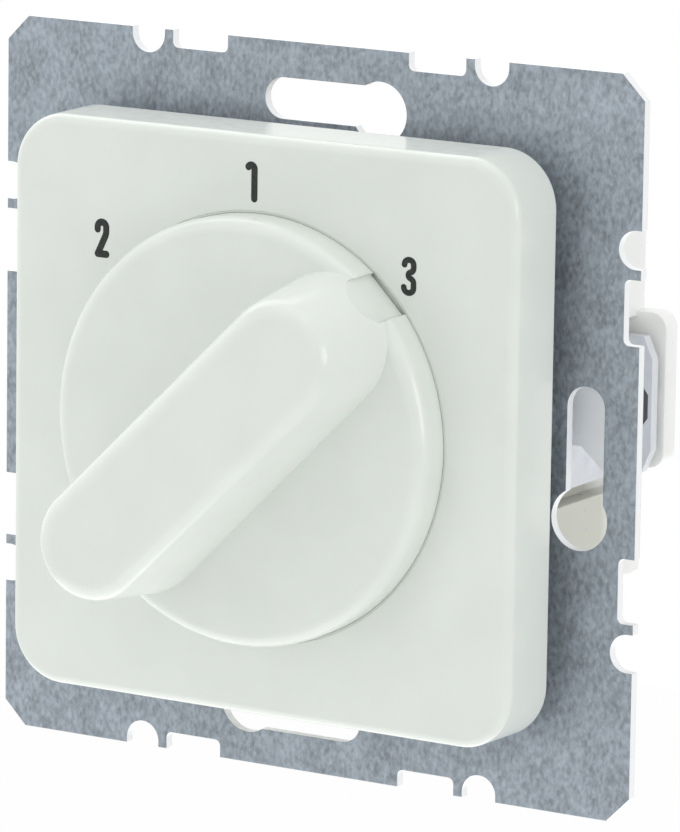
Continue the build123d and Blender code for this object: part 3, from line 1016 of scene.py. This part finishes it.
@dataclass
class SlottedScrew:
    """Slotted screw with a rounded head and a cut thread, in place of a plain one.

    Attributes:
        node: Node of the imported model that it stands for.
        side: Side to which the head looks.
        head_height: Height of the head.
        shank_radius: Radius over the thread.
        pitch: Pitch of the thread.
        twist: Turn of the driver slot in degrees.
        slot_width: Width of the driver slot.
        slot_depth: Depth of the driver slot.
    """

    node: str
    side: HeadSide
    head_height: float
    shank_radius: float
    pitch: float
    twist: float
    slot_width: float = 0.8 * MM
    slot_depth: float = 0.9 * MM

    STEPS = 28
    HEAD_STEPS = 48
    HEAD_ROUND = 0.42
    THREAD_DEPTH = 0.6
    SPARE_TURNS = 3
    LEAD = 1.2
    OVERLAP = 0.1 * MM
    SMOOTH = 35.0

    def build(self) -> Object:
        """Build the screw where its node is.

        Returns:
            The new piece.
        """
        low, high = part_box(self.node)
        length = high.y - low.y - self.head_height
        head = self.head_mesh((high.x - low.x) / 2)
        shape = self.thread_shape(length)
        shape.from_mesh(head)
        bpy.data.meshes.remove(head)
        seat = high.y - self.head_height if self.side is HeadSide.BACK else low.y + self.head_height
        centre = (low + high) / 2
        turn = Matrix.Rotation(math.radians(self.twist), 4, "Z")
        tilt = Matrix.Rotation(-self.side.value * math.pi / 2, 4, "X")
        place = Matrix.Translation((centre.x, seat, centre.z)) @ tilt @ turn
        bmesh.ops.transform(shape, matrix=place, verts=shape.verts)
        name = "slotted_" + self.node
        piece = new_piece(name, shape, SCREW_ZINC, self.SMOOTH)
        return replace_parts(piece, self.node)

    def head_mesh(self, radius: float) -> Mesh:
        """Turn the head and saw its driver slot.

        Args:
            radius: Radius of the head.

        Returns:
            Mesh of the head, with its seat in the plane of Z zero.
        """
        shape = bmesh.new()
        bmesh.ops.create_cone(
            shape,
            cap_ends=True,
            segments=self.HEAD_STEPS,
            radius1=radius,
            radius2=radius,
            depth=self.head_height,
            matrix=Matrix.Translation((0.0, 0.0, self.head_height / 2)),
        )
        middle = self.head_height / 2
        rim = [edge for edge in shape.edges if all(point.co.z > middle for point in edge.verts)]
        round_edges(shape, rim, self.head_height * self.HEAD_ROUND, 6)
        saw = bmesh.new()
        bmesh.ops.create_cube(saw, size=1.0)
        size = (radius * 3, self.slot_width, self.slot_depth * 2)
        bmesh.ops.scale(saw, vec=size, verts=saw.verts)
        bmesh.ops.translate(saw, vec=(0.0, 0.0, self.head_height), verts=saw.verts)
        return cut_away(shape, saw)

    def thread_shape(self, length: float) -> BMesh:
        """Wind the thread and trim it to length.

        Args:
            length: Length of the shank under the head.

        Returns:
            Closed shape of the shank, which goes down from the plane of Z zero.
        """
        shape = bmesh.new()
        crest = self.shank_radius
        root = crest - self.THREAD_DEPTH * self.pitch
        profile = ((root, 0.0), (crest, 0.42), (crest, 0.54), (root, 0.96), (root, 1.0))
        points = [shape.verts.new((radius, 0.0, height * self.pitch)) for radius, height in profile]
        edges = [shape.edges.new(pair) for pair in zip(points, points[1:])]
        turns = math.ceil(length / self.pitch) + self.SPARE_TURNS
        bmesh.ops.spin(
            shape,
            geom=[*points, *edges],
            cent=(0.0, 0.0, 0.0),
            axis=(0.0, 0.0, 1.0),
            dvec=(0.0, 0.0, -self.pitch / self.STEPS),
            angle=-2 * math.pi * turns,
            steps=self.STEPS * turns,
        )
        bmesh.ops.remove_doubles(shape, verts=shape.verts, dist=self.pitch * 0.01)
        bmesh.ops.translate(shape, vec=(0.0, 0.0, self.pitch * self.LEAD), verts=shape.verts)
        for height, side in ((self.OVERLAP, 1.0), (-length, -1.0)):
            bmesh.ops.bisect_plane(
                shape,
                geom=[*shape.verts, *shape.edges, *shape.faces],
                plane_co=(0.0, 0.0, height),
                plane_no=(0.0, 0.0, side),
                clear_outer=True,
            )
        bmesh.ops.holes_fill(shape, edges=shape.edges)
        bmesh.ops.recalc_face_normals(shape, faces=shape.faces)
        return shape


def cut_away(shape: BMesh, tool: BMesh) -> Mesh:
    """Cut one closed shape out of another.

    Args:
        shape: Shape that is cut, which is freed.
        tool: Shape that is cut away, which is freed.

    Returns:
        Mesh of what is left.
    """
    objects = []
    for part in (shape, tool):
        mesh = bpy.data.meshes.new("cutting")
        part.to_mesh(mesh)
        part.free()
        holder = bpy.data.objects.new("cutting", mesh)
        bpy.context.scene.collection.objects.link(holder)
        objects.append(holder)
    cut = objects[0].modifiers.new("cut", "BOOLEAN")
    cut.operation = "DIFFERENCE"
    cut.solver = "EXACT"
    cut.object = objects[1]
    graph = bpy.context.evaluated_depsgraph_get()
    result = bpy.data.meshes.new_from_object(objects[0].evaluated_get(graph))
    for holder in objects:
        bpy.data.meshes.remove(holder.data)
    return result


@dataclass
class SpreadingClaws:
    """Claws at both sides that grip the wall box, and the screws that spread them.

    Attributes:
        screw_head: Height of a screw's head.
        screw_radius: Radius over a screw's thread.
        screw_pitch: Pitch of the thread.
        screw_twist: Turn of the driver slots at the right and at the left, in degrees.
        shade_pad_low: Near lower corner of the right pad, a dark block of painted shade in the window of
            the claw's tip.
        shade_pad_high: Its far upper corner.
        shade_pad_edge: Rounding of the pads' edges.
    """

    screw_head: float = 1.9 * MM
    screw_radius: float = 1.5 * MM
    screw_pitch: float = 0.5 * MM
    screw_twist: tuple[float, float] = (25.0, 70.0)
    shade_pad_low: Point = (19.9 * MM, 23.35 * MM, -3.1 * MM)
    shade_pad_high: Point = (23.75 * MM, 23.85 * MM, 2.2 * MM)
    shade_pad_edge: float = 0.12 * MM

    def build(self) -> None:
        """Dress the claws, build their screws and set dark pads of painted shade behind their tips."""
        dress(CLAW_ZINC, ("claw_right", "claw_left"))
        for node, twist in zip(("claw_screw_right", "claw_screw_left"), self.screw_twist):
            sizes = (self.screw_head, self.screw_radius, self.screw_pitch)
            SlottedScrew(node, HeadSide.FRONT, *sizes, twist).build()
        self.set_shade_pad("claw_shade_pad_right", 0.0)
        self.set_shade_pad("claw_shade_pad_left", 180.0)

    def set_shade_pad(self, name: str, turn: float) -> Object:
        """Set one dark pad on the ear behind a claw's tip, as painted shade in the tip's window.

        Args:
            name: Name of the pad.
            turn: Turn about the knob's axis from the right side, in degrees.

        Returns:
            The pad.
        """
        low, high = Vector(self.shade_pad_low), Vector(self.shade_pad_high)
        shape = bmesh.new()
        bmesh.ops.create_cube(shape, size=1.0)
        bmesh.ops.scale(shape, vec=high - low, verts=shape.verts)
        round_edges(shape, shape.edges, self.shade_pad_edge, 3)
        place = Matrix.Rotation(math.radians(turn), 4, "Y") @ Matrix.Translation((low + high) / 2)
        bmesh.ops.transform(shape, matrix=place, verts=shape.verts)
        return new_piece(name, shape, SHADE_PAD)


@dataclass
class RearHousing:
    """Moulded base behind the wall plane and the cover that closes it."""

    def build(self) -> None:
        """Dress the base and its cover."""
        dress(CREAM_MOULDING, ("housing_base",))
        dress(GREY_MOULDING, ("bearing_cover",))


@dataclass
class Terminals:
    """Wire clamps, their screws and the fixed contacts under them.

    Attributes:
        ways: Names of the terminals.
        screw_head: Height of a screw's head.
        screw_radius: Radius over a screw's thread.
        screw_pitch: Pitch of the thread.
        twists: Turn of each screw's driver slot, in degrees.
    """

    ways: tuple[str, ...] = ("common", "1", "2", "3")
    screw_head: float = 2.0 * MM
    screw_radius: float = 1.75 * MM
    screw_pitch: float = 0.6 * MM
    twists: tuple[float, ...] = (12.0, 75.0, -35.0, 40.0)

    def build(self) -> None:
        """Dress the clamps and contacts and build the screws."""
        dress(SCREW_ZINC, [f"terminal_clamp_{way}" for way in self.ways])
        dress(CONTACT_BRASS, [f"contact_{way}" for way in self.ways])
        for way, twist in zip(self.ways, self.twists):
            sizes = (self.screw_head, self.screw_radius, self.screw_pitch)
            SlottedScrew(f"terminal_screw_{way}", HeadSide.BACK, *sizes, twist).build()


@dataclass
class SwitchWorks:
    """Moving pieces inside the base."""

    def build(self) -> None:
        """Dress the rotor, its contact and its springs."""
        dress(DARK_MOULDING, ("rotor",))
        dress(CONTACT_BRASS, ("contact_bridge",))
        dress(SPRING_STEEL, ("bridge_spring", "detent_spring_right", "detent_spring_left"))


@dataclass(frozen=True)
class Softbox:
    """Soft lamp of the studio.

    Attributes:
        name: Name of the lamp.
        place: Where it stands.
        size: Side of its square face.
        power: Power in watts.
    """

    name: str
    place: Point
    size: float
    power: float


@dataclass
class Studio:
    """Camera, soft light and pale floor.

    Attributes:
        azimuth: Camera's turn to the right of the insert's front, in degrees.
        elevation: Camera's height over the insert, in degrees.
        roll: Camera's turn about its own line of sight, in degrees.
        distance: Distance from the camera to its aim.
        aim: Point on the line of sight.
        lens: Focal length in millimetres.
        sensor: Width of the sensor in millimetres.
        shift: Shift of the picture in widths of its longer side.
        floor_level: Height of the floor.
        floor_reach: Half the side of the floor.
        floor_grey: Share of the light that the floor throws back.
        floor_white: Share of plain white in what is seen of the floor; the rest shows the shadow.
        ambient: Strength of the light from all around.
        lamps: Soft lamps.
    """

    azimuth: float = 31.748
    elevation: float = 10.972
    roll: float = 0.787
    distance: float = 0.62756
    aim: Point = (0.0, -1.0 * MM, 0.0)
    lens: float = 283.5
    sensor: float = 36.0
    shift: tuple[float, float] = (0.0327, -0.0052)
    floor_level: float = -1.1
    floor_reach: float = 4.0
    floor_grey: float = 0.86
    floor_white: float = 0.97
    ambient: float = 0.75
    lamps: tuple[Softbox, ...] = (
        Softbox("left", (-0.80, -0.50, 0.10), 0.8, 0.95),
        Softbox("left_back", (-0.93, 0.15, 0.25), 0.8, 0.85),
        Softbox("key", (-0.55, -0.75, 0.65), 0.8, 0.7),
        Softbox("right", (0.90, -0.15, 0.15), 0.4, 1.5),
        Softbox("low_right", (0.26, -0.22, -0.26), 0.3, 0.13),
        Softbox("top", (0.0, -0.20, 0.95), 0.8, 1.4),
        Softbox("top_back", (-0.60, 0.35, 0.70), 0.8, 2.5),
        Softbox("low_back", (0.0, 0.26, -0.27), 0.35, 0.28),
        Softbox("below", (-0.10, -0.02, -0.28), 0.4, 0.48),
    )

    def build(self) -> None:
        """Set up the camera, the light and the floor."""
        bpy.context.scene.view_settings.view_transform = "Standard"
        self.place_camera()
        for lamp in self.lamps:
            self.hang_lamp(lamp)
        self.light_world()
        self.lay_floor()

    def place_camera(self) -> None:
        """Place the camera at the photograph's angle."""
        turn = math.radians(self.azimuth)
        rise = math.radians(self.elevation)
        level = math.cos(rise)
        back = Vector((math.sin(turn) * level, -math.cos(turn) * level, math.sin(rise)))
        data = bpy.data.cameras.new("camera")
        data.lens = self.lens
        data.sensor_width = self.sensor
        data.shift_x, data.shift_y = self.shift
        camera = bpy.data.objects.new("camera", data)
        upright = back.to_track_quat("Z", "Y").to_matrix().to_4x4()
        place = Matrix.Translation(Vector(self.aim) + back * self.distance)
        camera.matrix_world = place @ upright @ Matrix.Rotation(math.radians(self.roll), 4, "Z")
        bpy.context.scene.collection.objects.link(camera)
        bpy.context.scene.camera = camera

    def hang_lamp(self, lamp: Softbox) -> None:
        """Hang one soft lamp that looks at the insert.

        Args:
            lamp: Lamp to hang.
        """
        data = bpy.data.lights.new(lamp.name, "AREA")
        data.size = lamp.size
        data.energy = lamp.power
        holder = bpy.data.objects.new(lamp.name, data)
        holder.location = lamp.place
        holder.rotation_euler = Vector(lamp.place).to_track_quat("Z", "Y").to_euler()
        holder.visible_camera = False
        bpy.context.scene.collection.objects.link(holder)

    def seen_directly(self, tree: bpy.types.NodeTree) -> NodeSocket:
        """Tell rays that show the background from rays that light the insert.

        Args:
            tree: Node tree that takes the nodes.

        Returns:
            Socket of 1 for camera, glossy and transmission rays, and 0 for others.
        """
        path = tree.nodes.new("ShaderNodeLightPath")
        seen = path.outputs["Is Camera Ray"]
        for kind in ("Is Glossy Ray", "Is Transmission Ray"):
            more = tree.nodes.new("ShaderNodeMath")
            more.operation = "MAXIMUM"
            tree.links.new(seen, more.inputs[0])
            tree.links.new(path.outputs[kind], more.inputs[1])
            seen = more.outputs["Value"]
        return seen

    def light_world(self) -> None:
        """Light the insert evenly from all around, before a white background."""
        world = bpy.data.worlds.new("studio")
        world.use_nodes = True
        bpy.context.scene.world = world
        tree = world.node_tree
        strength = tree.nodes.new("ShaderNodeMapRange")
        strength.inputs["To Min"].default_value = self.ambient
        tree.links.new(self.seen_directly(tree), strength.inputs["Value"])
        background = tree.nodes["Background"]
        background.inputs["Color"].default_value = (1.0, 1.0, 1.0, 1.0)
        tree.links.new(strength.outputs["Result"], background.inputs["Strength"])

    def lay_floor(self) -> None:
        """Lay a pale floor that keeps a shadow."""
        shape = bmesh.new()
        bmesh.ops.create_grid(shape, x_segments=1, y_segments=1, size=self.floor_reach)
        bmesh.ops.translate(shape, vec=(0.0, 0.0, self.floor_level), verts=shape.verts)
        mesh = bpy.data.meshes.new("floor")
        shape.to_mesh(mesh)
        shape.free()
        mesh.materials.append(self.floor_material())
        floor = bpy.data.objects.new("floor", mesh)
        bpy.context.scene.collection.objects.link(floor)

    def floor_material(self) -> Material:
        """Make the floor's material, white to the eye with a soft shadow.

        Returns:
            The material.
        """
        material = bpy.data.materials.new("pale_floor")
        material.use_nodes = True
        tree = material.node_tree
        tree.nodes.remove(tree.nodes["Principled BSDF"])
        matt = tree.nodes.new("ShaderNodeBsdfDiffuse")
        matt.inputs["Color"].default_value = (self.floor_grey, self.floor_grey, self.floor_grey, 1.0)
        white = tree.nodes.new("ShaderNodeEmission")
        share = tree.nodes.new("ShaderNodeMapRange")
        share.inputs["To Max"].default_value = self.floor_white
        tree.links.new(self.seen_directly(tree), share.inputs["Value"])
        mix = tree.nodes.new("ShaderNodeMixShader")
        tree.links.new(share.outputs["Result"], mix.inputs["Fac"])
        tree.links.new(matt.outputs["BSDF"], mix.inputs[1])
        tree.links.new(white.outputs["Emission"], mix.inputs[2])
        tree.links.new(mix.outputs["Shader"], tree.nodes["Material Output"].inputs["Surface"])
        return material


def main() -> None:
    """Build the studio and dress the insert piece by piece."""
    logging.basicConfig(level=logging.INFO, format="%(name)s: %(message)s")
    for assembly in (
        Studio(),
        SteelFrame(),
        FrontPlate(),
        RotaryKnob(),
        SpreadingClaws(),
        RearHousing(),
        Terminals(),
        SwitchWorks(),
    ):
        assembly.build()
        log.info("finished %s", type(assembly).__name__)


if __name__ == "__main__":
    main()
